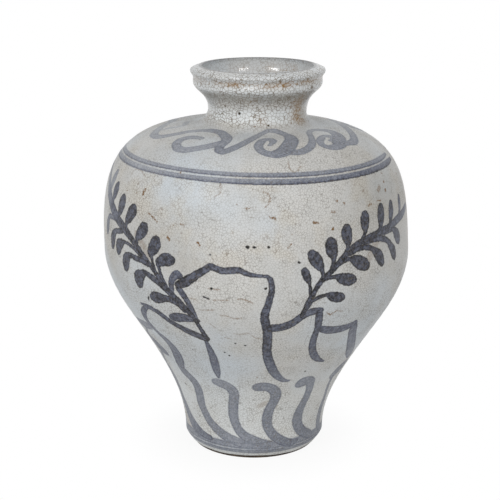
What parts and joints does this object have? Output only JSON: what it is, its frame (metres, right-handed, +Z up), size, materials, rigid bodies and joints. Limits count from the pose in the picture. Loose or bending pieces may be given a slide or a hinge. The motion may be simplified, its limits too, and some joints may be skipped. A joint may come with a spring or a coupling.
{
  "type": "meiping vase",
  "caption": "Broad-shouldered meiping vase with a narrow foot, a short neck and a thick sloping lip, in crackle-glazed stoneware with brush-painted leaf sprays and a scroll band.",
  "frame": {"origin": "middle of the flat ring that the foot rests on, at table height", "axes": "+Z up along the axis the vase is turned about; the pictured side faces -Y, with +X to its right"},
  "size_m": [0.2799, 0.28, 0.3557],
  "materials": {
    "clay": "bare fired stoneware",
    "slip": "fired slip in the luted joints",
    "glaze": "pale crackled glaze over blue-grey brush painting"
  },
  "bodies": {
    "root": {"lower_body": "clay", "base_disc": "clay", "upper_body": "clay", "neck_mouth": "clay", "base_joint_slip": "slip", "belly_joint_slip": "slip", "neck_joint_slip": "slip", "outer_glaze": "glaze", "inner_glaze": "glaze"}
  },
  "joints": []
}
